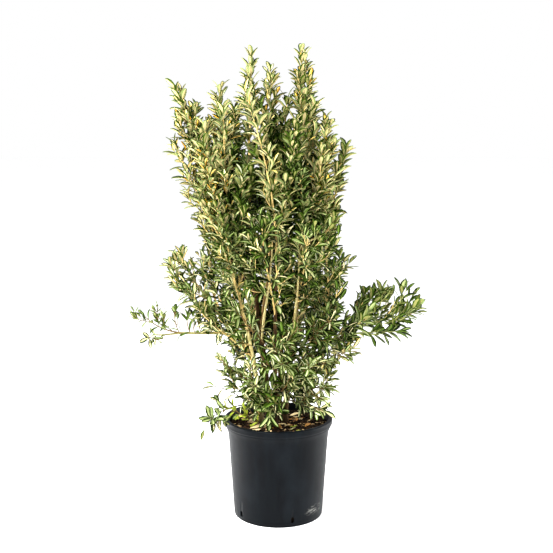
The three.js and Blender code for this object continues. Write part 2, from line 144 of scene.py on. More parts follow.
# How leaves of one habit vary in length and width, and how far their blades fold up
LEAF_SIZES = (0.74, 1.1)
LEAF_WIDTHS = (0.82, 1.14)
LEAF_FOLDS = (0.1, 0.75)

# Stations along a leaf, its half width at each, and the share of that which its pale centre takes
STATIONS = np.array([0.15, 0.42, 0.7, 0.91])
HALF_WIDTHS = np.array([0.38, 0.88, 0.98, 0.58])
CENTRE_SHARE = np.array([0.46, 0.54, 0.5, 0.34])

# Looks
GLOSS = 0.03
POT_GLOSS = 0.055
OLD_BARK = 190 * MM  # the height over which the stems' bark pales
SCUFF_PLACE = (96 * MM, -72 * MM, 36 * MM)
SCUFF_SIZE = (44 * MM, 44 * MM, 16 * MM)
CHIP_COUNT = 1500
CHIP_SIZES = ((2.5, 10), (1.5, 4.5), (0.6, 1.8))

# Bark chips on the soil: name, darkest and lightest colour, and share
CHIPS = [
    ("chip_dark", (12, 8, 5), (34, 24, 15), 8),
    ("chip_brown", (30, 20, 12), (64, 45, 30), 3),
    ("chip_tan", (140, 112, 76), (190, 164, 122), 1),
]

# View, with the camera turned down by the pitch in degrees
CAMERA_PLACE = np.array([-0.005, -2.7, 1.075])
PITCH = 8.59
LENS = 65.49
FLOOR_REACH = 30

# Name, place, target, size and power
LIGHTS = [
    ("key", (-1.6, -2.2, 3.0), (0, 0, 0.8), 1.2, 340),
    ("fill", (2.4, -1.6, 1.6), (0, 0, 0.8), 1.6, 78),
    ("low", (-0.9, -2.3, 0.4), (0, 0, 0.45), 1.2, 20),
    ("left_edge", (-1.9, 0.5, 0.5), (0, 0, 0.3), 1, 136),
    ("right_edge", (1.9, 0.5, 0.5), (0, 0, 0.3), 1, 66),
]

# Name, foot on the soil, a point on its way, tip, radii at its foot and tip, and bark
STEMS = [
    ("stem_trunk", (-24, 12), (-46, 18, 430), (-70, 26, 690), (10, 5.5), 0),
    ("stem_left", (-46, -24), (-68, -56, 450), (-122, -88, 690), (5.4, 3.4), 3),
    ("stem_right", (18, 2), (42, 0, 460), (66, -16, 760), (7.5, 4.2), 1),
    ("stem_front", (-8, -42), (-10, -72, 480), (-6, -124, 730), (6, 3.8), 0),
    ("stem_back", (2, 48), (14, 92, 480), (20, 134, 740), (7.5, 4.2), 0),
]

# Name, the stem it leaves, how far up it, its tip, and how upright the tip turns
BOUGHS = [
    ("bough_left", "stem_trunk", 0.88, (-164, -6, 770), 0.85),
    ("bough_left_inner", "stem_trunk", 0.72, (-128, 62, 780), 0.7),
    ("bough_middle", "stem_trunk", 0.56, (-22, 2, 740), 0.8),
    ("bough_right", "stem_right", 0.8, (98, -36, 740), 0.8),
    ("bough_right_edge", "stem_right", 0.7, (114, 14, 690), 0.7),
    ("bough_back", "stem_back", 0.9, (0, 200, 720), 0.6),
    ("bough_back_left", "stem_back", 0.72, (-84, 152, 700), 0.6),
    ("bough_mid_left", "stem_left", 0.66, (-160, -40, 590), 0.5),
    ("bough_mid_right", "stem_right", 0.5, (112, -46, 560), 0.5),
    ("bough_mid_back_left", "stem_trunk", 0.48, (-104, 112, 570), 0.5),
    ("bough_thin_left", "stem_trunk", 0.52, (-250, -30, 517), -0.08),
    ("bough_low_right", "stem_right", 0.34, (210, 6, 520), 0.1),
]

# Slim limbs of the scene alone, written as the boughs are: bare pale ones in front of the crown's middle,
# and the end of the thin left limb
SHOOTS = [
    ("shoot_oblique", "stem_trunk", 0.5, (-16, -92, 764), 0.8),
    ("shoot_bend", "stem_right", 0.5, (54, -116, 748), 0.9),
    ("shoot_bend_tip", "shoot_bend", 1, (112, -150, 796), -0.1),
    ("shoot_thin", "bough_thin_left", 1, (-326, -36, 513), 0.1),
]

# How a mass grows: spacing of twigs along its leader, how far they lean, how much shorter they are at its
# tip, leaf length and width, spacing of leaf pairs, how far leaves lean and curl, how far from a leader's
# tip its leaves are young, how even the pairs are (1) or how crowded at the tip (near 0), and its bark, from
# 0 for brown to yellow, green and dark
HABIT_PARTS = (
    "twigs", "lean", "narrowing", "leaf", "width", "pairs", "spread", "curl", "young", "evenness", "bark",
)
HABITS = {
    "column": (38, (28, 46), 0.84, 50, 0.38, 22, (34, 54), (0.2, 0.45), 110, 0.8, 1),
    "plume": (25, (16, 36), 0.66, 46, 0.4, 16, (26, 46), (0.1, 0.35), 110, 0.7, 1),
    "spire": (25, (16, 34), 0.66, 45, 0.4, 17, (28, 48), (0.1, 0.4), 90, 0.7, 1),
    "bushy": (23, (26, 52), 0.35, 45, 0.34, 17, (38, 64), (0.1, 0.45), 50, 0.75, 1),
    "loose": (44, (28, 54), 0.2, 44, 0.38, 14, (36, 70), (0.1, 0.4), 30, 0.42, 1),
    "broad": (38, (24, 50), 0.2, 50, 0.34, 15, (28, 60), (0.05, 0.3), 30, 0.45, 2),
    "rosette": (150, (40, 66), 0.2, 40, 0.37, 13, (56, 82), (-0.1, 0.2), 12, 0.3, 0),
    "star": (150, (40, 66), 0.2, 29, 0.42, 10, (56, 82), (-0.1, 0.2), 8, 0.3, 0),
    "trailing": (150, (40, 66), 0.2, 38, 0.36, 34, (40, 80), (0, 0.3), 20, 0.8, 3),
    "airy": (22, (30, 64), 0.2, 44, 0.33, 16, (40, 66), (0.1, 0.45), 50, 0.7, 0),
    "wispy": (38, (24, 50), 0.2, 31, 0.42, 17, (40, 70), (0, 0.3), 30, 0.6, 0),
}

# Name, limb it grows on, how far up it, leader's tip, radius of its space, how upright the leader ends,
# the tones that its sprays are dealt, and its habit
MASSES = [
    ("crown_tallest", "stem_right", 1, (60, -2, 1240), 80, 0.9, "bright", "plume"),
    ("crown_tall_left", "stem_trunk", 1, (-74, 58, 1238), 46, 0.7, "bright", "plume"),
    ("crown_middle", "bough_middle", 1, (-22, 10, 1194), 75, 0.9, "bright", "spire"),
    ("crown_left", "bough_left", 1, (-262, 0, 1146), 80, -0.35, "bright", "plume"),
    ("crown_left_inner", "bough_left_inner", 1, (-158, 44, 1148), 80, 0.8, "bright", "spire"),
    ("crown_left_front", "stem_left", 1, (-186, -116, 1050), 85, 0.7, "bright", "spire"),
    ("crown_left_edge", "stem_left", 0.84, (-262, -52, 1006), 62, -0.1, "bright", "bushy"),
    ("crown_front_long", "stem_front", 1, (-76, -152, 1134), 62, -0.3, "front", "column"),
    ("crown_front_right", "stem_front", 0.84, (40, -134, 1060), 85, 0.8, "shadow", "spire"),
    ("crown_right", "bough_right", 1, (124, -24, 1066), 76, 0.8, "bright", "spire"),
    ("crown_right_front", "stem_right", 0.88, (110, -104, 980), 76, 0.7, "bright", "spire"),
    ("crown_right_edge", "bough_right_edge", 1, (174, 4, 988), 46, -0.1, "bright", "spire"),
    ("crown_back", "bough_back", 1, (-12, 226, 1070), 105, 0.8, "cream", "spire"),
    ("crown_back_left", "bough_back_left", 1, (-124, 168, 1100), 105, 0.8, "cream", "spire"),
    ("crown_back_right", "stem_back", 1, (84, 152, 1130), 105, 0.9, "cream", "spire"),
    ("mid_left", "bough_mid_left", 1, (-170, -44, 812), 62, 0.7, "cream", "bushy"),
    ("mid_left_front", "stem_left", 0.6, (-134, -150, 800), 78, 0.6, "cream", "bushy"),
    ("mid_front", "stem_front", 0.66, (-40, -212, 800), 95, 0.6, "shadow", "bushy"),
    ("mid_front_right", "stem_right", 0.62, (72, -186, 780), 95, 0.6, "deep", "bushy"),
    ("mid_right", "bough_mid_right", 1, (120, -74, 790), 68, 0.6, "deep", "bushy"),
    ("mid_right_edge", "stem_right", 0.56, (166, 20, 680), 66, 0.3, "cream", "bushy"),
    ("mid_back_left", "bough_mid_back_left", 1, (-144, 112, 800), 86, 0.6, "deep", "bushy"),
    ("mid_back_right", "stem_back", 0.5, (110, 160, 780), 94, 0.6, "deep", "bushy"),
    ("side_left", "stem_left", 0.5, (-256, -20, 704), 54, 0.3, "cream", "loose"),
    ("side_left_low", "stem_left", 0.4, (-252, -50, 640), 54, 0.2, "pale", "loose"),
    ("thin_left", "bough_thin_left", 1, (-346, -30, 548), 72, 0.4, "greenish", "wispy"),
    ("low_left_upper", "stem_left", 0.44, (-200, -78, 576), 48, 0.3, "faded", "loose"),
    ("low_left", "stem_left", 0.24, (-140, -84, 440), 42, 0.4, "faded", "wispy"),
    ("low_front_left", "stem_front", 0.42, (-96, -166, 590), 85, 0.4, "deep", "airy"),
    ("low_front", "stem_front", 0.28, (10, -160, 520), 80, 0.5, "deep", "airy"),
    ("low_right", "bough_low_right", 1, (360, 2, 570), 76, 0.3, "green", "broad"),
    ("low_right_upper", "bough_low_right", 0.6, (250, 10, 596), 66, 0.4, "green", "broad"),
    ("low_right_under", "bough_low_right", 0.86, (302, -30, 520), 60, 0, "green", "broad"),
    ("low_right_middle", "bough_low_right", 0.34, (222, -70, 560), 70, 0.3, "green", "broad"),
    ("low_right_inner", "stem_right", 0.36, (126, -104, 560), 80, 0.4, "green", "airy"),
    ("low_right_front", "stem_right", 0.26, (180, -84, 476), 66, 0.1, "cream", "airy"),
    ("low_right_shoot", "stem_right", 0.12, (126, -60, 384), 65, 0.3, "pale", "airy"),
    ("low_back", "stem_back", 0.3, (70, 190, 540), 100, 0.4, "deep", "airy"),
    ("low_back_left", "stem_trunk", 0.24, (-116, 104, 480), 90, 0.4, "deep", "airy"),
    ("drooping_left", "stem_left", 0.14, (-192, -64, 278), 60, -0.7, "clear", "trailing"),
    ("base_front", "stem_front", 0.08, (-30, -112, 350), 60, 0.6, "deep", "airy"),
]

# Small shoots near the pot, between the masses and inside the crown, written as the masses are, but named
# without the word sprig
SPRIGS = [
    ("crown", "bough_middle", 1, (22, 8, 1120), 58, 0.8, "bright", "spire"),
    ("crown_left", "bough_left", 1, (-208, 24, 1044), 56, 0.6, "bright", "spire"),
    ("thin_inner", "bough_thin_left", 0.66, (-186, -34, 542), 30, 0.9, "greenish", "wispy"),
    ("thin_middle", "bough_thin_left", 0.8, (-214, -30, 550), 30, 0.9, "greenish", "wispy"),
    ("thin_outer", "bough_thin_left", 0.94, (-246, -34, 546), 30, 0.9, "greenish", "wispy"),
    ("thin_far", "thin_left", 0.14, (-280, -30, 554), 30, 0.9, "greenish", "wispy"),
    ("thin_rosette", "shoot_thin", 1, (-337, -60, 513), 56, 0, "clear", "star"),
    ("right_gap", "bough_low_right", 0.2, (132, -60, 620), 60, 0.7, "cream", "bushy"),
    ("green", "stem_left", 0.02, (-118, -62, 440), 36, 0.8, "clear", "trailing"),
    ("left_arch", "stem_left", 0.05, (-154, -70, 376), 40, -0.3, "faded", "trailing"),
    ("droop", "drooping_left", 0.8, (-176, -112, 302), 70, 0, "clear", "rosette"),
    ("droop_rim", "drooping_left", 0.55, (-152, -98, 306), 46, 0, "clear", "rosette"),
    ("side_high", "side_left", 0.9, (-256, -30, 706), 42, 0.8, "front", "loose"),
    ("side_left", "side_left", 0.7, (-276, -36, 684), 40, 0.5, "front", "loose"),
    ("side_low", "side_left", 0.5, (-264, -46, 656), 40, 0.4, "front", "loose"),
    ("left_front", "stem_left", 0.1, (-72, -116, 424), 50, 0.5, "faded", "airy"),
    ("front_right", "stem_right", 0.2, (76, -134, 446), 62, 0.2, "faded", "airy"),
    ("left_tier", "crown_left", 0.5, (-254, -24, 1064), 52, 0.5, "bright", "spire"),
    ("right_tuft", "low_right", 0.3, (282, 4, 604), 48, 0.8, "green", "broad"),
    ("right_tuft_far", "low_right", 0.64, (334, 0, 606), 48, 0.8, "green", "broad"),
    ("hole", "stem_left", 1, (-72, -118, 940), 60, 0.8, "deep", "spire"),
    # heart_left and heart_middle: dark leaves between the stems, painted shade
    ("heart_left", "stem_trunk", 0.3, (-84, 70, 640), 74, 0.8, "dark", "bushy"),
    ("heart_middle", "stem_back", 0.24, (-30, 44, 600), 66, 0.8, "dark", "bushy"),
    ("hole_high", "crown_middle", 0.7, (-66, 10, 1110), 50, 0.8, "bright", "spire"),
    ("left", "stem_left", 0.14, (-96, -66, 396), 40, 0.4, "faded", "wispy"),
    ("inner_left", "stem_trunk", 0.12, (-60, -84, 376), 52, 0.3, "faded", "airy"),
    ("hanging", "stem_front", 0.1, (-22, -114, 326), 44, -0.8, "deep", "broad"),
    ("front", "stem_front", 0.16, (24, -112, 396), 52, 0.3, "deep", "airy"),
    ("inner_right", "stem_right", 0.16, (62, -72, 400), 54, 0.4, "pale", "airy"),
    ("arching", "stem_right", 0.12, (104, -84, 322), 46, -0.1, "pale", "airy"),
    ("right", "stem_right", 0.18, (104, -88, 356), 36, -0.2, "pale", "airy"),
    ("back", "stem_back", 0.1, (34, 112, 380), 52, 0.3, "deep", "airy"),
    ("back_left", "stem_trunk", 0.1, (-84, 84, 366), 52, 0.2, "deep", "airy"),
    ("back_right", "stem_back", 0.14, (98, 70, 400), 52, 0.2, "deep", "airy"),
    # heart_low, heart and heart_high fill the crown's middle with the inner tone's darker kinds, painted
    # shade
    ("heart_low", "stem_back", 0.36, (-8, 60, 590), 80, 0.8, "inner", "bushy"),
    ("heart", "stem_back", 0.6, (-10, 76, 760), 85, 0.8, "inner", "bushy"),
    ("heart_high", "bough_middle", 0.8, (-30, 24, 900), 80, 0.8, "inner", "bushy"),
    ("front_left", "stem_left", 0.82, (-92, -138, 930), 66, 0.7, "deep", "spire"),
    ("front_middle", "stem_right", 0.8, (58, -132, 934), 60, 0.7, "shadow", "spire"),
    ("oblique", "shoot_oblique", 1, (-10, -104, 850), 40, 0.8, "shadow", "spire"),
    ("left_top", "stem_left", 0.95, (-140, -116, 1096), 62, 0.8, "bright", "spire"),
    ("bend", "shoot_bend", 0.95, (62, -124, 850), 46, 0.8, "deep", "spire"),
    ("bend_tip", "shoot_bend_tip", 1, (126, -156, 812), 42, 0.3, "cream", "airy"),
    ("lime", "stem_left", 0.01, (-114, -40, 296), 46, 0.6, "lime", "wispy"),
    ("left_gap", "stem_left", 0.42, (-168, -44, 640), 58, 0.5, "deep", "bushy"),
    ("left_leaf", "stem_left", 0.05, (-124, -72, 396), 42, 0.3, "clear", "loose"),
    ("right_gap_low", "bough_low_right", 0.34, (146, -24, 590), 56, 0.8, "deep", "bushy"),
    ("thin_near", "bough_thin_left", 0.74, (-200, -34, 540), 28, 0.9, "greenish", "wispy"),
    ("thin_between", "bough_thin_left", 0.88, (-230, -32, 540), 28, 0.9, "greenish", "wispy"),
]

# Stretches of limb that show bare in front: their limb, shares of it and the clearance in the view. No
# leaf hangs further in front of them than this.
IN_FRONT = 4 * MM
BARE = [
    ("stem_left", 0.5, 0.96, 9),
    ("stem_trunk", 0.5, 0.85, 6),
    ("stem_front", 0.45, 0.75, 4),
    ("shoot_oblique", 0.15, 0.95, 7),
    ("shoot_bend", 0.35, 1, 7),
    ("shoot_bend_tip", 0, 0.8, 5),
    ("crown_front_long", 0.05, 0.6, 3.5),
]

# Dry leaves that show on the soil: place, heading in degrees, length and kind. More lie at random, no
# nearer to the pot's wall than the edge.
FALLEN_COUNT = 44
FALLEN_LENGTHS = (20, 36)
FALLEN_WIDTH = 0.46  # as a share of the length
FALLEN_EDGE = 34
FALLEN = [
    (-104, 56, 20, 40, "straw"),
    (-94, -14, -10, 34, "straw"),
    (-56, -50, 14, 52, "straw"),
    (-62, -66, -20, 34, "straw"),
    (-40, -86, -24, 36, "straw"),
    (-44, 6, 80, 36, "straw"),
    (-6, -40, 30, 34, "golden"),
    (10, 84, 0, 34, "straw"),
    (44, 70, 30, 36, "straw"),
    (24, 20, -30, 40, "dead"),
    (-92, 26, 190, 38, "limy"),
    (-116, 34, 100, 36, "limy"),
    (-70, 70, -40, 30, "dead"),
    (80, -30, 60, 30, "dead"),
]

# Sprays far from the crown's own axis, above one height or below another are in the open. Those within are
# dealt the inner tone's darker leaf colours, painted shade, the more so the nearer they are to the axis.
CROWN_AXIS = (-40 * MM, -10 * MM)
CROWN_RADIUS = 200 * MM
OPEN_HEIGHT = 1000 * MM
OPEN_BELOW = 450 * MM
OPEN_RISE = 220 * MM
OPEN_GAIN = 1.2
OPEN_LEAST = 0.16

# Which masses a piece of leaves stands for, by the start of their names. The sprigs make two more pieces,
# parted at the height of their tips.
LEAF_PIECES = {
    "leaves_crown_front": ("crown_front", "crown_right", "crown_tall", "crown_middle"),
    "leaves_crown_left": ("crown_left",),
    "leaves_crown_back": ("crown_back", "mid_back", "low_back"),
    "leaves_middle": ("mid_left", "mid_front", "mid_right", "side_left"),
    "leaves_low": ("thin_left", "low_left", "low_front", "low_right", "drooping_left", "base_front"),
}
HIGH_SPRIG = 600

# Plain leaf colours, in sRGB
LEAF_COLOURS = {
    "night": (10, 17, 3),
    "dark_green": (27, 42, 6),
    "green": (54, 74, 16),
    "fresh_green": (84, 106, 42),
    "grey_green": (114, 128, 74),
    "pale_green": (148, 158, 104),
    "ivory": (194, 197, 160),
    "cream": (204, 196, 146),
    "yellow": (198, 172, 92),
    "gold": (204, 150, 44),
    "under": (130, 130, 74),
    "under_pale": (188, 174, 120),
    "lime": (146, 158, 52),
    "tan": (150, 106, 52),
    "straw": (200, 178, 132),
}
LEAF_SLOTS = list(LEAF_COLOURS)

# Each kind of leaf: its margin, the two halves of its centre, and the margin and centre of its underside
LEAF_KINDS = {
    "sunny": ("dark_green", "cream", "yellow", "grey_green", "under_pale"),
    "creamy": ("dark_green", "cream", "pale_green", "green", "under_pale"),
    "silver": ("green", "ivory", "pale_green", "grey_green", "under_pale"),
    "soft": ("green", "grey_green", "pale_green", "grey_green", "under"),
    "greyed": ("dark_green", "grey_green", "pale_green", "green", "under"),
    "golden": ("dark_green", "gold", "yellow", "green", "under_pale"),
    # shaded: a darker copy of the leaf colours, painted shade
    "shaded": ("night", "green", "grey_green", "dark_green", "fresh_green"),
    "narrow": ("night", "dark_green", "cream", "dark_green", "grey_green"),
    "greenish": ("dark_green", "green", "fresh_green", "green", "grey_green"),
    "plain": ("dark_green", "green", "fresh_green", "green", "under"),
    "fresh": ("green", "pale_green", "ivory", "fresh_green", "pale_green"),
    # dim: the darkest copy of the leaf colours, painted shade
    "dim": ("night", "dark_green", "green", "night", "dark_green"),
    "limy": ("lime",) * 5,
    "dead": ("tan",) * 5,
    "straw": ("straw",) * 5,
}
KIND_NAMES = list(LEAF_KINDS)

# The kinds of leaf in each tone, with their shares
TONES = {
    # inner: darker kinds for sprays deep in the crown, painted shade
    "inner": {"dim": 4, "shaded": 5, "plain": 3, "narrow": 1.5, "greyed": 1.5, "golden": 0.6},
    # dark: the darkest kinds, painted shade between the stems
    "dark": {"dim": 6, "shaded": 2},
    "front": {"creamy": 4, "sunny": 4, "silver": 3},
    "bright": {"sunny": 7, "creamy": 4.5, "golden": 5.5, "silver": 2, "greyed": 2},
    "cream": {"sunny": 2.5, "creamy": 5, "silver": 2, "soft": 2, "greyed": 4, "shaded": 2, "narrow": 1.5},
    # deep: partly painted shade, a darker mix for masses within the crown
    "deep": {"creamy": 3, "soft": 2.5, "greyed": 4, "shaded": 3, "plain": 2, "narrow": 1.5, "silver": 1.5},
    "pale": {"creamy": 4, "silver": 4.5, "soft": 3, "greyed": 3, "narrow": 1.5},
    "green": {"plain": 2.5, "soft": 2, "greyed": 5, "greenish": 2.5, "shaded": 3, "narrow": 1.5},
    "greenish": {"fresh": 2, "soft": 2, "greenish": 4, "greyed": 4},
    "faded": {"silver": 5, "creamy": 5, "soft": 2, "fresh": 2},
    "clear": {"creamy": 3, "greyed": 3.5, "narrow": 3},
    # shadow: darker kinds on masses under the crown's front, painted shade
    "shadow": {"shaded": 3, "narrow": 2, "plain": 3, "greyed": 3, "creamy": 2.5, "sunny": 1},
    "lime": {"limy": 4, "fresh": 1},
}


def linear(colour):
    """An sRGB colour of 0 to 255 as Blender's linear colour with alpha."""
    def channel(value):
        value /= 255
        return value / 12.92 if value <= 0.04045 else ((value + 0.055) / 1.055) ** 2.4

    return (*(channel(value) for value in colour), 1)


def unit(vector):
    return vector / np.linalg.norm(vector)


def mix(start, end, share):
    return start + (end - start) * share


def metres(point):
    return np.array(point, float) * MM


class Line:
    """A cubic curve, sampled evenly along its length, with a frame that doesn't twist."""

    def __init__(self, a, b, c, d, steps=40):
        self.steps = steps
        s = np.linspace(0, 1, 6 * steps + 1)[:, None]
        raw = (1 - s) ** 3 * a + 3 * (1 - s) ** 2 * s * b + 3 * (1 - s) * s**2 * c + s**3 * d
        run = np.concatenate([[0], np.cumsum(np.linalg.norm(np.diff(raw, axis=0), axis=1))])
        even = np.linspace(0, run[-1], steps + 1)
        self.length = run[-1]
        self.points = np.column_stack([np.interp(even, run, raw[:, k]) for k in range(3)])
        tangents = np.gradient(self.points, axis=0)
        self.tangents = tangents / np.linalg.norm(tangents, axis=1, keepdims=True)
        span = np.abs(d - a)
        self.guide = np.array([1.0, 0, 0]) if span[0] <= span[1] else np.array([0, 1.0, 0])

    def sample(self, rows, share):
        place = min(max(share, 0), 1) * self.steps
        low = min(int(place), self.steps - 1)
        return mix(rows[low], rows[low + 1], place - low)

    def point(self, share):
        return self.sample(self.points, share)

    def tangent(self, share):
        return unit(self.sample(self.tangents, share))

    def frame(self, share):
        along = self.tangent(share)
        side = unit(self.guide - along * np.dot(self.guide, along))
        return self.point(share), along, side, np.cross(side, along)


def turned_up(direction, share):
    goal = -UP if share < 0 else UP
    return unit(mix(direction, goal, abs(share)))


def bent_line(foot, tip, start_way, end_way, steps=40):
    reach = np.linalg.norm(tip - foot) * BEND
    return Line(foot, foot + start_way * reach, tip - end_way * reach, tip, steps)


class Batch:
    """Points and triangles of many small parts, joined into one mesh."""

    def __init__(self):
        self.points = []
        self.faces = []
        self.slots = []
        self.smooth = []
        self.count = 0

    def add(self, points, faces, slots, smooth=True):
        self.points.append(points)
        self.faces.append(np.asarray(faces) + self.count)
        self.slots.append(np.broadcast_to(slots, len(faces)))
        self.smooth.append(np.broadcast_to(smooth, len(faces)))
        self.count += len(points)

    def build(self, name, materials, slot, replaced=()):
        faces = np.concatenate(self.faces).astype(np.int32)
        mesh = bpy.data.meshes.new(name)
        for material in materials:
            mesh.materials.append(material)
        mesh.vertices.add(self.count)
        mesh.vertices.foreach_set("co", np.concatenate(self.points).astype(np.float32).ravel())
        mesh.loops.add(faces.size)
        mesh.loops.foreach_set("vertex_index", faces.ravel())
        mesh.polygons.add(len(faces))
        mesh.polygons.foreach_set("loop_start", np.arange(len(faces), dtype=np.int32) * 3)
        mesh.polygons.foreach_set("material_index", np.concatenate(self.slots).astype(np.int32))
        mesh.polygons.foreach_set("use_smooth", np.concatenate(self.smooth).astype(bool))
        mesh.update(calc_edges=True)
        piece = bpy.data.objects.new(name, mesh)
        bpy.context.scene.collection.objects.link(piece)
        return finished(piece, replaced)


def ring_faces(count, sides):
    """Triangles that join rings in a row, closed by fans round the two points that follow the rings."""
    j = np.arange(sides)
    k = (j + 1) % sides
    faces = []
    for low in range(0, (count - 1) * sides, sides):
        high = low + sides
        faces.append(np.column_stack([low + j, low + k, high + k]))
        faces.append(np.column_stack([low + j, high + k, high + j]))
    ends = np.full(sides, count * sides)
    last = (count - 1) * sides
    faces.append(np.column_stack([ends, k, j]))
    faces.append(np.column_stack([ends + 1, last + j, last + k]))
    return np.concatenate(faces)


def finished(piece, replaced=()):
    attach(piece, "root")
    if replaced:
        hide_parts(*replaced)
    return piece


# Wood

def add_tube(batch, line, radius_at, sides, steps, slot, relief=None):
    """A round limb along a line, closed at both ends."""
    turns = np.arange(sides) * 2 * math.pi / sides
    rings = []
    for share in np.linspace(0, 1, steps + 1):
        at, _, side, other = line.frame(share)
        radii = radius_at(share) * (1 if relief is None else relief(line.length * share, turns))
        spokes = np.outer(np.cos(turns), side) + np.outer(np.sin(turns), other)
        rings.append(at + spokes * np.reshape(radii, (-1, 1)))
    points = np.concatenate([*rings, line.points[:1], line.points[-1:]])
    batch.add(points, ring_faces(steps + 1, sides)[:, ::-1], slot)


limbs = {}


def add_stem(name, foot, by, tip, radii):
    start = np.array([foot[0] * MM, foot[1] * MM, SOIL_TOP])
    bend = metres(by)
    end = metres(tip)
    lower = start + UP * (bend[2] - start[2]) * STEM_BEND[0]
    upper = bend + turned_up(unit(bend - start), STEM_UPTURN) * np.linalg.norm(end - bend) * STEM_BEND[1]
    thick, thin = (radius * MM for radius in radii)
    limbs[name] = (
        Line(start, lower, upper, end),
        lambda share: mix(thick, thin, share) * (1 + FLARE * math.exp(-share / FLARE_HEIGHT)),
    )


def line_from(on, at, tip, rise, beyond=0):
    """The line of a limb or leader that leaves a parent, on from its tip or out of its side."""
    parent = limbs[on][0]
    tangent = parent.tangent(at)
    foot = parent.point(at)
    way = unit(metres(tip) - foot)
    start_way = tangent if at == 1 else unit(mix(way, tangent, LIMB_START))
    end_way = turned_up(way, rise)
    return bent_line(foot, metres(tip) + end_way * beyond, start_way, end_way)


def add_bough(name, on, at, tip, rise, end=BOUGH_TIP, share_of_parent=BOUGH_SHARE):
    foot = limbs[on][1](1) if at == 1 else max(BOUGH_LEAST, share_of_parent * limbs[on][1](at))
    limbs[name] = (line_from(on, at, tip, rise), lambda share: mix(foot, end, share))


def bark_relief(spacing, phase):
    """Ridges round a limb and a swelling at each old leaf scar."""
    def relief(run, turns):
        ridges = 0.05 * np.sin(3 * turns + 60 * run + phase) + 0.035 * np.sin(7 * turns - 150 * run)
        rings = 0.03 * math.sin(410 * run + phase)
        scar = 0.16 * math.exp(-(((run + phase * 0.01) % spacing - spacing / 2) / (3 * MM)) ** 2)
        return 1 + ridges + rings + scar

    return relief


def grow_wood():
    for name, foot, by, tip, radii, _ in STEMS:
        add_stem(name, foot, by, tip, radii)
    for bough in BOUGHS:
        add_bough(*bough)
    for shoot in SHOOTS:
        add_bough(*shoot, SHOOT_TIP, SHOOT_SHARE)
    stems, boughs = Batch(), Batch()
    stem_barks = {stem[0]: stem[-1] for stem in STEMS}
    pale = [shoot[0] for shoot in SHOOTS]
    for index, (name, (line, radius_at)) in enumerate(limbs.items()):
        relief = bark_relief(SCAR_SPACING[index % 3] * MM, index)
        if name in stem_barks:
            add_tube(stems, line, radius_at, *STEM_TUBE, stem_barks[name], relief)
        else:
            bark = 2 if "thin" in name else 3 if name in pale else index % 3
            add_tube(boughs, line, radius_at, *BOUGH_TUBE, bark, relief)
    materials = [
        bark_material("bark_brown", (44, 30, 18), (94, 72, 46)),
        bark_material("bark_tan", (98, 74, 42), (168, 140, 92)),
        bark_material("bark_green", (92, 88, 48), (160, 152, 98)),
        bark_material("bark_pale", (190, 170, 102), (240, 228, 168)),
    ]
    stems.build("stems", materials, "bark", [stem[0] for stem in STEMS])
    boughs.build("boughs", materials, "bark", [bough[0] for bough in BOUGHS])


# Leaves

def leaf_template():
    """Triangles of one leaf and the part of the leaf that each lies in, as LEAF_KINDS lists them."""
    across = 8  # five points on the upper side and three on the underside
    tip = len(STATIONS) * across + 1
    # The part that each strip along the leaf lies in, and the points at its two edges
    strips = [(0, 0, 1), (1, 1, 2), (2, 2, 3), (0, 3, 4), (3, 4, 7), (4, 7, 6), (4, 6, 5), (3, 5, 0)]
    faces, parts = [], []

    def put(part, *corners):
        faces.extend([corners[0], corners[i], corners[i + 1]] for i in range(1, len(corners) - 1))
        parts.extend([part] * (len(corners) - 2))

    def at(station, point):
        return 1 + station * across + point

    last = len(STATIONS) - 1
    for part, a, b in strips:
        put(part, 0, at(0, a), at(0, b))
        for i in range(last):
            put(part, at(i, a), at(i + 1, a), at(i + 1, b), at(i, b))
        put(0 if part < 3 else 3, at(last, a), tip, at(last, b))
    return np.array(faces), np.array(parts)


def add_leaves(batch, leaves, seed):
    """All the leaves of a piece at once: folded blades with an uneven margin and a curled tip."""
    random_array = np.random.default_rng(seed)
    faces, parts = leaf_template()
    count = len(leaves)
    root, way, across, normal = (np.array([leaf[k] for leaf in leaves]) for k in range(4))
    length, width, fold, curl = np.array([leaf[4:8] for leaf in leaves]).T
    kinds = np.array([leaf[8] for leaf in leaves])

    def uneven(low, high):
        return random_array.uniform(low, high, (count, len(STATIONS)))

    half = HALF_WIDTHS * (width / 2)[:, None] * uneven(0.94, 1.06)
    left = -half * CENTRE_SHARE * uneven(0.5, 1.35)
    right = half * CENTRE_SHARE * uneven(0.5, 1.35)
    middle = np.zeros_like(half)
    y = np.stack([-half, left, middle, right, half, left, middle, right], axis=2)
    z = np.abs(y) * fold[:, None, None] - (curl * length)[:, None, None] * STATIONS[:, None] ** 2
    z[:, :, 5:] -= LEAF_THICKNESS
    x = (STATIONS * length[:, None])[:, :, None] * np.ones(8)

    def placed(x, y, z):
        out = root[:, None] + way[:, None] * x[..., None]
        return out + across[:, None] * y[..., None] + normal[:, None] * z[..., None]

    blade = placed(x.reshape(count, -1), y.reshape(count, -1), z.reshape(count, -1))
    ends = np.zeros((count, 1))
    tips = placed(length[:, None], ends, (-curl * length)[:, None])
    points = np.concatenate([root[:, None], blade, tips], axis=1)
    per_leaf = points.shape[1]
    table = np.array([[LEAF_SLOTS.index(c) for c in LEAF_KINDS[name]] for name in KIND_NAMES])
    starts = np.arange(count)[:, None, None] * per_leaf
    slots = table[kinds][:, parts].ravel()
    smooth = np.tile(parts != 3, count)
    batch.add(points.reshape(-1, 3), (faces + starts).reshape(-1, 3), slots, smooth)


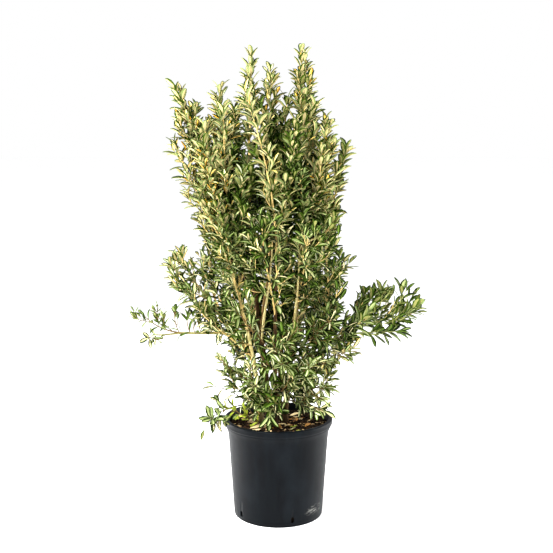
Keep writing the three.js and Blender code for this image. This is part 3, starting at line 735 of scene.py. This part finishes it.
class Mass:
    """One mass of the model: its leader, the space round it, and its habit."""

    def __init__(self, name, on, at, tip, girth, rise, tone, habit):
        self.name = name
        self.line = line_from(on, at, tip, rise)
        self.leader = line_from(on, at, tip, rise, LEADER_BEYOND)
        self.foot = limbs[on][1](1) if at == 1 else LEADER_FOOT * min(1, girth / FULL_GIRTH)
        self.girth = girth * MM
        self.tones = TONES[tone]
        self.habit = dict(zip(HABIT_PARTS, HABITS[habit]))
        beyond = self.line.point(1) + self.line.tangent(1) * SPACE_BEYOND
        self.samples = np.array([*(self.line.point(i / 8) for i in range(9)), beyond])

    def depth(self, point):
        """How far a point is from the leader, as a share of the space there."""
        start, span = self.samples[:-1], np.diff(self.samples, axis=0)
        share = np.clip(np.sum((point - start) * span, axis=1) / np.sum(span**2, axis=1), 0, 1)
        away = np.linalg.norm(start + span * share[:, None] - point, axis=1)
        along = (np.arange(len(span)) + share) / len(span)
        return np.min(away / (self.girth * (1 - SPACE_TAPER * along)))


def in_reach(point):
    """Whether a tip is within the model's reach and clear of the pot and its soil."""
    away = math.hypot(point[0], point[1])
    if away < RIM_RADIUS + RIM_CLEARANCE:
        within = away < RIM_RADIUS - WALL_CLEARANCE
        if point[2] < (SOIL_TOP + SOIL_CLEARANCE if within else POT_HEIGHT + RIM_CLEARANCE):
            return False
    return all(low - REACH_MARGIN <= p <= high + REACH_MARGIN for p, low, high in zip(point, *cad_box))


def leaning(frame_here, turn, lean):
    """A direction that leans away from a shoot, round it by the angle turn."""
    _, along, side, other = frame_here
    out = side * math.cos(turn) + other * math.sin(turn)
    return along * math.cos(lean) + out * math.sin(lean)


def degrees(draw, low, high):
    return math.radians(draw.uniform(low, high))


def side_twigs(mass, parent, draw, spacing, length_at, foot_share):
    """Twigs that leave a shoot a quarter turn apart, shortened where they would leave the space."""
    line, radius_at = parent[:2]
    count = max(1, round(line.length / spacing))
    twigs = []
    for k in range(count):
        at = mix(*TWIG_STRETCH, (k + draw.uniform(0.1, 0.9)) / count)
        frame_here = line.frame(at)
        turn = math.pi / 4 + k * math.pi / 2 * TWIG_TURN + draw.uniform(-TWIG_SWING, TWIG_SWING)
        way = leaning(frame_here, turn, degrees(draw, *mass.habit["lean"]))
        full = length_at(at) * draw.uniform(*TWIG_SIZES)
        for part in TWIG_LENGTHS:
            length = full * part
            tip = frame_here[0] + way * length + UP * length * TWIG_RISE
            if mass.depth(tip) < TWIG_SPACE and in_reach(tip):
                foot = radius_at(at) * foot_share
                twig = bent_line(frame_here[0], tip, way, turned_up(way, TWIG_UPTURN), 12)
                twigs.append((twig, lambda share, foot=foot: mix(foot, TWIG_TIP, share), TWIG_LEAFLESS))
                break
    return twigs


def shoot_leaves(mass, shoot, draw, size, spacing, young_length=YOUNG_LENGTH, shown_at=0.7):
    """Leaves in crossed pairs, closer, smaller and more upright towards the shoot's tip."""
    line, _, leafless = shoot
    names, shares = spray_kinds(mass, line.point(shown_at), draw)
    leaves = []
    pairs = max(2, round(line.length * (1 - leafless) / spacing))
    start = draw.uniform(0, math.pi / 2)
    for k in range(pairs + 1):
        share = (k / pairs) ** mass.habit["evenness"]
        at = min(0.995, mix(leafless, 1, share))
        frame_here = line.frame(at)
        young = max(0, 1 - (1 - share) * line.length / young_length)
        for half in (0, math.pi):
            turn = start + k * math.pi / 2 + half + draw.uniform(-LEAF_SWING, LEAF_SWING)
            lean = mix(degrees(draw, *mass.habit["spread"]), degrees(draw, *YOUNG_SPREAD), young)
            way = leaning(frame_here, turn, lean)
            roll = draw.uniform(-LEAF_ROLL, LEAF_ROLL)
            upper = frame_here[1] + UP * SKYWARD
            upper = unit(upper - way * np.dot(upper, way))
            across = np.cross(upper, way)
            normal = upper * math.cos(roll) + across * math.sin(roll)
            across = np.cross(normal, way)
            length = mass.habit["leaf"] * MM * size * draw.uniform(*LEAF_SIZES) * mix(1, YOUNG_SIZE, young)
            tip = frame_here[0] + way * length
            kind = KIND_NAMES.index(draw.choices(names, shares)[0])
            shape = (length * mass.habit["width"] * draw.uniform(*LEAF_WIDTHS), draw.uniform(*LEAF_FOLDS))
            curl = draw.uniform(*mass.habit["curl"])
            if mass.depth(tip) < LEAF_SPACE and in_reach(tip):
                leaves.append((frame_here[0], way, across, normal, length, *shape, curl, kind))
    return leaves


def spray_kinds(mass, place, draw):
    """The kinds of leaf on one spray. One kind leads, and deep in the crown the kinds are darker: painted
    shade.
    """
    away = math.hypot(place[0] - CROWN_AXIS[0], place[1] - CROWN_AXIS[1]) / CROWN_RADIUS
    openness = away**1.5 + max(0, (place[2] - OPEN_HEIGHT) / OPEN_RISE, (OPEN_BELOW - place[2]) / OPEN_RISE)
    # Near the axis the inner tone's darker kinds stand in for shade: painted shade
    tones = mass.tones if draw.random() < openness * OPEN_GAIN + OPEN_LEAST else TONES["inner"]
    names, shares = list(tones), list(tones.values())
    lead = names.index(draw.choices(names, shares)[0])
    shares[lead] += LEAD_WEIGHT * sum(shares)
    return names, shares


def seen_from_camera(points):
    """Where points stand in the view, in metres at the pot's distance."""
    away = points - CAMERA_PLACE
    return away[:, [0, 2]] / away[:, 1:2] * -CAMERA_PLACE[1]


def hides_bare_limb(leaves):
    """Which leaves hang in front of a stretch that shows bare."""
    hidden = np.zeros(len(leaves), bool)
    for along in (0.5, 0.9):
        points = np.array([leaf[0] + leaf[1] * leaf[4] * along for leaf in leaves])
        for name, start, end, clearance in BARE:
            stretch = np.array([limbs[name][0].point(share) for share in np.linspace(start, end, 40)])
            apart = seen_from_camera(points)[:, None] - seen_from_camera(stretch)
            distance = np.linalg.norm(apart, axis=2)
            nearest = distance.argmin(axis=1)
            in_front = points[:, 1] < stretch[nearest, 1] - IN_FRONT
            hidden |= (distance.min(axis=1) < clearance * MM) & in_front
    return hidden


def grow_mass(mass, twig_batch, seed):
    draw = random.Random(seed)
    habit = mass.habit
    leader = (mass.leader, lambda share: mix(mass.foot, LEADER_TIP, share**LEADER_SLIMMING), LEAFLESS)
    limbs[mass.name] = leader[:2]

    def reach(at):
        return mass.girth * (1 - SPACE_TAPER * at) * (1 - habit["narrowing"] * at**1.5) * TWIG_REACH

    twigs = side_twigs(mass, leader, draw, habit["twigs"] * MM, reach, TWIG_SHARE)
    finer = []
    for twig in twigs:
        length = twig[0].length
        if length > FORKED_LENGTH:
            finer_length = length * FINER_LENGTH
            finer += side_twigs(mass, twig, draw, FINER_SPACING, lambda at: finer_length, FINER_SHARE)
    pairs = habit["pairs"] * MM
    leaves = shoot_leaves(mass, leader, draw, LEADER_LEAF, LEADER_PAIRS * pairs, habit["young"] * MM, 1)
    for twig in twigs + finer:
        leaves += shoot_leaves(mass, twig, draw, draw.uniform(0.8, 1), pairs)
    add_tube(twig_batch, *leader[:2], *LEADER_TUBE, habit["bark"])
    for index, twig in enumerate(twigs + finer):
        bark = 1 + index % 2 if habit["bark"] in (1, 2) else habit["bark"]
        add_tube(twig_batch, *twig[:2], *TWIG_TUBE, bark)
    return leaves


def grow_masses():
    twig_batch = Batch()
    grown = {}
    sprigs = [("sprig_" + name, *rest) for name, *rest in SPRIGS]
    for index, row in enumerate(MASSES + sprigs):
        grown[row[0]] = grow_mass(Mass(*row), twig_batch, index + 1)
    twig_batch.build("twigs", [
        plain_material("shoot_brown", (104, 84, 50), 0.7),
        plain_material("shoot_yellow", (220, 190, 120), 0.55),
        plain_material("shoot_green", (160, 164, 100), 0.55),
        plain_material("shoot_dark", (50, 44, 24), 0.7),
    ], "bark")
    materials = [plain_material("leaf_" + name, colour, 0.4) for name, colour in LEAF_COLOURS.items()]
    pieces = {}
    for piece, starts in LEAF_PIECES.items():
        pieces[piece] = [row[0] for row in MASSES if row[0].startswith(starts)]
    pieces["leaves_sprigs_high"] = [row[0] for row in sprigs if row[3][2] >= HIGH_SPRIG]
    pieces["leaves_sprigs_low"] = [row[0] for row in sprigs if row[3][2] < HIGH_SPRIG]
    for seed, (piece, names) in enumerate(pieces.items()):
        batch = Batch()
        leaves = [leaf for name in names for leaf in grown[name]]
        hidden = hides_bare_limb(leaves)
        add_leaves(batch, [leaf for leaf, hides in zip(leaves, hidden) if not hides], seed)
        batch.build(piece, materials, "foliage", names if piece in LEAF_PIECES else [])
    return materials


# Pot and soil

def body_radius(z):
    return mix(FOOT_RADIUS, BODY_TOP_RADIUS, z / (POT_HEIGHT - RIM_HEIGHT))


def turned(profile, sides):
    """A shape swept round +Z from radius and height pairs, closed where the radius is nothing."""
    batch = Batch()
    turns = np.arange(sides) * 2 * math.pi / sides
    rings = []
    for radius, z in profile:
        rings.append(np.column_stack([radius * np.cos(turns), radius * np.sin(turns), np.full(sides, z)]))
    points = np.concatenate([*rings, [[0, 0, profile[0][1]], [0, 0, profile[-1][1]]]])
    batch.add(points, ring_faces(len(profile), sides), 0)
    return batch


def arc(centre, radius, start, end, steps):
    angles = np.radians(np.linspace(start, end, steps + 1))
    return [(centre[0] + radius * math.cos(a), centre[1] + radius * math.sin(a)) for a in angles]


def pot_profile():
    rim_foot = POT_HEIGHT - RIM_HEIGHT
    rows = [(NEAR_AXIS, 3 * MM), (FOOT_RADIUS - 16 * MM, 3 * MM), (FOOT_RADIUS - 12 * MM, 0)]
    rows += arc((body_radius(0) - 4 * MM, 4 * MM), 4 * MM, -90, 0, 5)
    heights = [z * MM for z in (12, 24, 26, 60, 110, 170, 215)]
    rows += [(body_radius(z), z) for z in heights]
    flare = ((138.4, 226), (139.4, 234), (141, 241), (143.2, 247), (145.6, 252), (146.8, 254.6))
    band = ((146.7, 256), (147.6, 257.4), (149.2, 259), (150, 261.5))
    rows += [(radius * MM, z * MM) for radius, z in flare + band]
    rows += arc((RIM_RADIUS - 4 * MM, POT_HEIGHT - 4 * MM), 4 * MM, 0, 90, 6)
    rows += arc((RIM_RADIUS - RIM_LIP, POT_HEIGHT - 2.5 * MM), 2.5 * MM, 90, 165, 4)
    rows += [(body_radius(rim_foot) - WALL, rim_foot - 2 * MM)]
    rows += [(body_radius(z) - WALL, z) for z in (180 * MM, 90 * MM, 24 * MM, FLOOR + 1 * MM)]
    rows += [(FOOT_RADIUS - WALL - 2 * MM, FLOOR + 0.4 * MM), (NEAR_AXIS, FLOOR + 0.4 * MM)]
    return rows


def slot_cutter():
    """The drain slots as one mesh of round-ended prisms."""
    batch = Batch()
    half = SLOT_WIDTH / 2
    outline = arc((0, SLOT_BOTTOM + SLOT_HEIGHT - half), half, 0, 180, 8)
    outline += arc((0, SLOT_BOTTOM + half), half, 180, 360, 8)
    for index in range(SLOT_COUNT):
        angle = math.radians(SLOT_FIRST + index * 360 / SLOT_COUNT)
        out = np.array([math.sin(angle), -math.cos(angle), 0])
        side = np.array([math.cos(angle), math.sin(angle), 0])
        ring = np.array([side * x + UP * z for x, z in outline])
        near, far = ring + out * (FOOT_RADIUS - 9 * MM), ring + out * (FOOT_RADIUS + 9 * MM)
        points = np.concatenate([near, far, [near.mean(0)], [far.mean(0)]])
        batch.add(points, ring_faces(2, len(outline)), 0)
    return batch


def make_pot():
    pot = turned(pot_profile(), POT_SIDES).build("pot_shell", [pot_material()], "pot", ["pot"])
    cutter = slot_cutter().build("slot_cutter", [], "pot")
    cut = pot.modifiers.new("slots", "BOOLEAN")
    cut.operation = "DIFFERENCE"
    cut.solver = "EXACT"
    cut.object = cutter
    graph = bpy.context.evaluated_depsgraph_get()
    mesh = bpy.data.meshes.new_from_object(pot.evaluated_get(graph))
    pot.modifiers.clear()
    pot.data = mesh
    bpy.data.objects.remove(cutter)
    bpy.context.view_layer.objects.active = pot
    pot.select_set(True)
    bpy.ops.object.shade_auto_smooth(angle=math.radians(32))


def soil_height(x, y):
    """Crumbly compost, a little lower at the pot's wall."""
    edge = max(0, math.hypot(x, y) / (BODY_TOP_RADIUS - WALL) - 0.85) / 0.15
    bumps = math.sin(90 * x + 2) * math.cos(70 * y) + 0.6 * math.sin(190 * y + 140 * x)
    return SOIL_TOP - SOIL_EDGE_DROP * edge - 2.4 * MM + 1.2 * MM * bumps


def make_soil(leaf_materials):
    draw = random.Random(71)
    inner = body_radius(SOIL_TOP) - WALL - 0.4 * MM
    deep = [(NEAR_AXIS, FLOOR + 1 * MM), (body_radius(FLOOR) - WALL - 4 * MM, FLOOR + 1 * MM)]
    soil = turned(deep + [(inner * share, SOIL_TOP) for share in np.linspace(1, 0.01, 28)], SOIL_SIDES)
    points = soil.points[0]
    for index, (x, y, z) in enumerate(points):
        if z > SOIL_TOP - 1 * MM:
            points[index, 2] = soil_height(x, y) + draw.uniform(-1.4, 1.4) * MM
    chips = bark_chips(draw, inner)
    shades = [(0.3, (6, 4, 3)), (0.52, (20, 14, 9)), (0.7, (52, 38, 24))]
    compost = grainy_material("compost", 0.95, (240, 8), shades, (0.9, 2 * MM))
    soil.build("soil_top", [compost], "soil", ["soil"])
    materials = []
    for name, dark, light, _ in CHIPS:
        materials.append(grainy_material(name, 0.85, (160, 5), [(0.3, dark), (0.7, light)], (0.4, 0.5 * MM)))
    chips.build("bark_chips", materials, "soil")
    fallen = Batch()
    add_leaves(fallen, fallen_leaves(draw, inner), 9)
    fallen.build("fallen_leaves", leaf_materials, "foliage")


def bark_chips(draw, inner):
    """Flat uneven blocks, strewn over the soil within the pot's wall."""
    chips = Batch()
    corners = np.array([(x, y, z) for z in (-1, 1) for y in (-1, 1) for x in (-1, 1)], float)
    quads = [(0, 2, 3, 1), (4, 5, 7, 6), (0, 1, 5, 4), (2, 6, 7, 3), (0, 4, 6, 2), (1, 3, 7, 5)]
    triangles = [t for a, b, c, d in quads for t in ((a, b, c), (a, c, d))]
    for _ in range(CHIP_COUNT):
        place = inner * 0.97 * math.sqrt(draw.random())
        angle = draw.uniform(0, 2 * math.pi)
        x, y = place * math.cos(angle), place * math.sin(angle)
        size = np.array([draw.uniform(*span) for span in CHIP_SIZES]) * MM
        chip = corners * size * np.array([[draw.uniform(0.6, 1.1) for _ in range(3)] for _ in range(8)])
        turn = Euler((draw.uniform(-0.5, 0.5), draw.uniform(-0.5, 0.5), draw.uniform(0, 6.3)))
        spin = np.array(turn.to_matrix())
        lift = soil_height(x, y) + draw.uniform(0, 2.4) * MM
        away = max(abs(chip).max(), 4 * MM)
        if place + away > inner:
            x, y = x * (inner - away) / place, y * (inner - away) / place
        shade = draw.choices(range(len(CHIPS)), [chip_row[-1] for chip_row in CHIPS])[0]
        chips.add(chip @ spin.T + np.array([x, y, lift]), triangles, shade, False)
    return chips


def fallen_leaves(draw, inner):
    """Dry and yellowed leaves on the soil: those that show in front first, then more all round."""
    places = list(FALLEN)
    while len(places) < FALLEN_COUNT:
        away = (inner / MM - FALLEN_EDGE) * math.sqrt(draw.random())
        angle = draw.uniform(0, 2 * math.pi)
        kind = draw.choices(("straw", "dead", "limy", "creamy"), (5, 4, 2, 1))[0]
        spot = (away * math.cos(angle), away * math.sin(angle))
        places.append((*spot, draw.uniform(0, 360), draw.uniform(*FALLEN_LENGTHS), kind))
    leaves = []
    for x, y, heading, length, kind in places:
        x, y, length, heading = x * MM, y * MM, length * MM, math.radians(heading)
        way = unit(np.array([math.cos(heading), math.sin(heading), draw.uniform(0, 0.3)]))
        across = unit(np.cross(UP, way))
        normal = np.cross(way, across)
        root = np.array([x, y, soil_height(x, y) + draw.uniform(3, 5) * MM]) - way * length / 2
        shape = (length, length * FALLEN_WIDTH, draw.uniform(-0.3, 0.4), draw.uniform(-0.1, 0.2))
        leaves.append((root, way, across, normal, *shape, KIND_NAMES.index(kind)))
    return leaves


# Materials

class Look:
    """A material, with short ways to make the nodes that are used here."""

    def __init__(self, name, roughness, gloss=GLOSS):
        self.material = bpy.data.materials.new(name)
        self.material.use_nodes = True
        self.tree = self.material.node_tree
        self.shader = self.tree.nodes["Principled BSDF"]
        self.put(self.shader, {"Roughness": roughness, "Specular IOR Level": gloss})

    def put(self, node, inputs):
        """Sets a node's inputs to plain values or joins them to other nodes' outputs."""
        for name, value in inputs.items():
            if isinstance(value, bpy.types.NodeSocket):
                self.tree.links.new(value, node.inputs[name])
            else:
                node.inputs[name].default_value = value

    def node(self, kind, inputs, output):
        node = self.tree.nodes.new("ShaderNode" + kind)
        self.put(node, inputs)
        return node.outputs[output]

    def place(self):
        return self.node("TexCoord", {}, "Object")

    def noise(self, scale, detail, stretch=(1, 1, 1)):
        """Noise in the object's own coordinates, stretched by axis."""
        place = self.node("Mapping", {"Vector": self.place(), "Scale": stretch}, "Vector")
        return self.node("TexNoise", {"Vector": place, "Scale": scale, "Detail": detail}, "Fac")

    def ramp(self, value, stops):
        """A colour ramp of place and sRGB colour pairs."""
        node = self.tree.nodes.new("ShaderNodeValToRGB")
        elements = node.color_ramp.elements
        while len(elements) < len(stops):
            elements.new(0.5)
        for element, (place, colour) in zip(elements, stops):
            element.position = place
            element.color = linear(colour)
        self.put(node, {"Fac": value})
        return node.outputs["Color"]

    def mixed(self, share, first, second):
        node = self.tree.nodes.new("ShaderNodeMix")
        node.data_type = "RGBA"
        self.put(node, {"Factor": share, "A": first, "B": second})
        return node.outputs["Result"]

    def mapped(self, value, before, after):
        """A value carried over from one range to another."""
        ends = zip(("From Min", "From Max", "To Min", "To Max"), (*before, *after))
        return self.node("MapRange", {"Value": value, **dict(ends)}, "Result")

    def colour(self, colour):
        self.put(self.shader, {"Base Color": colour})

    def bump(self, height, strength, distance):
        relief = {"Height": height, "Strength": strength, "Distance": distance}
        self.put(self.shader, {"Normal": self.node("Bump", relief, "Normal")})


def plain_material(name, colour, roughness):
    look = Look(name, roughness)
    look.colour(linear(colour))
    look.material.diffuse_color = linear(colour)
    return look.material


def bark_material(name, dark, light):
    """Streaked bark, darker and browner towards the soil."""
    look = Look(name, 0.75)
    streaks = look.noise(220, 6, (1, 1, 0.22))
    middle = tuple((a + b) // 2 for a, b in zip(dark, light))
    old = look.ramp(streaks, [(0.3, (16, 11, 7)), (0.7, (54, 40, 27))])
    young = look.ramp(streaks, [(0.3, dark), (0.52, middle), (0.7, light)])
    height = look.node("SeparateXYZ", {"Vector": look.place()}, "Z")
    share = look.mapped(height, (SOIL_TOP, SOIL_TOP + OLD_BARK), (0, 1))
    look.colour(look.mixed(share, old, young))
    look.bump(streaks, 0.6, 0.8 * MM)
    return look.material


def grainy_material(name, roughness, noise, stops, bump):
    look = Look(name, roughness)
    grain = look.noise(*noise)
    look.colour(look.ramp(grain, stops))
    look.bump(grain, *bump)
    return look.material


def scuffed(look, colour):
    """The colour, rubbed pale in streaks round one place low on the pot's side."""
    shift = {
        "Vector": look.place(),
        "Location": [-at / size for at, size in zip(SCUFF_PLACE, SCUFF_SIZE)],
        "Scale": [1 / size for size in SCUFF_SIZE],
    }
    length = look.tree.nodes.new("ShaderNodeVectorMath")
    length.operation = "LENGTH"
    look.put(length, {0: look.node("Mapping", shift, "Vector")})
    near = look.mapped(length.outputs["Value"], (0, 1), (1, 0))
    patches = look.ramp(look.noise(60, 5, (1, 1, 7)), [(0.5, (0, 0, 0)), (0.6, (215, 215, 215))])
    share = look.tree.nodes.new("ShaderNodeMath")
    share.operation = "MULTIPLY"
    look.put(share, {0: near, 1: patches})
    return look.mixed(share.outputs["Value"], colour, linear((150, 150, 144)))


def pot_material():
    """Dark bluish plastic with faint upright streaks and smears, as a handled pot has."""
    look = Look("pot_plastic", 0.4, POT_GLOSS)
    streaks = look.noise(38, 5, (1, 1, 0.06))
    plastic = look.ramp(streaks, [(0.3, (0, 1, 3)), (0.6, (2, 5, 8)), (0.75, (5, 10, 14))])
    smears = look.ramp(look.noise(11, 6, (1, 1, 0.7)), [(0.5, (0, 0, 0)), (0.72, (130, 130, 130))])
    look.colour(scuffed(look, look.mixed(smears, plastic, linear((26, 32, 37)))))
    look.put(look.shader, {"Roughness": look.mapped(look.noise(60, 4), (0, 1), (0.4, 0.55))})
    look.bump(look.noise(900, 3), 0.12, 0.15 * MM)
    return look.material


# Floor, light and camera

def make_stage():
    mesh = bpy.data.meshes.new("floor")
    corners = ((-1, -1), (1, -1), (1, 1), (-1, 1))
    mesh.from_pydata([(x * FLOOR_REACH, y * FLOOR_REACH, 0) for x, y in corners], [], [(0, 1, 2, 3)])
    floor = bpy.data.objects.new("floor", mesh)
    bpy.context.scene.collection.objects.link(floor)
    mesh.materials.append(plain_material("floor_white", WHITE, 0.9))


def add_light(name, place, target, size, power):
    data = bpy.data.lights.new(name, "AREA")
    data.shape = "SQUARE"
    data.size = size
    data.energy = power
    light = bpy.data.objects.new(name, data)
    light.location = place
    light.rotation_euler = (Vector(target) - Vector(place)).to_track_quat("-Z", "Y").to_euler()
    bpy.context.scene.collection.objects.link(light)


def make_light():
    world = bpy.data.worlds.new("studio")
    world.use_nodes = True
    background = world.node_tree.nodes["Background"].inputs
    background["Color"].default_value = linear(WHITE)
    background["Strength"].default_value = 1
    bpy.context.scene.world = world
    for light in LIGHTS:
        add_light(*light)
    scene = bpy.context.scene
    scene.view_settings.view_transform = "Standard"
    scene.view_settings.look = "None"


def make_camera():
    data = bpy.data.cameras.new("camera")
    data.sensor_width = 36
    data.lens = LENS
    data.clip_end = 100
    camera = bpy.data.objects.new("camera", data)
    camera.location = CAMERA_PLACE
    camera.rotation_euler = (math.radians(90 - PITCH), 0, 0)
    bpy.context.scene.collection.objects.link(camera)
    bpy.context.scene.camera = camera


make_camera()
make_light()
make_stage()
grow_wood()
leaf_materials = grow_masses()
make_soil(leaf_materials)
make_pot()
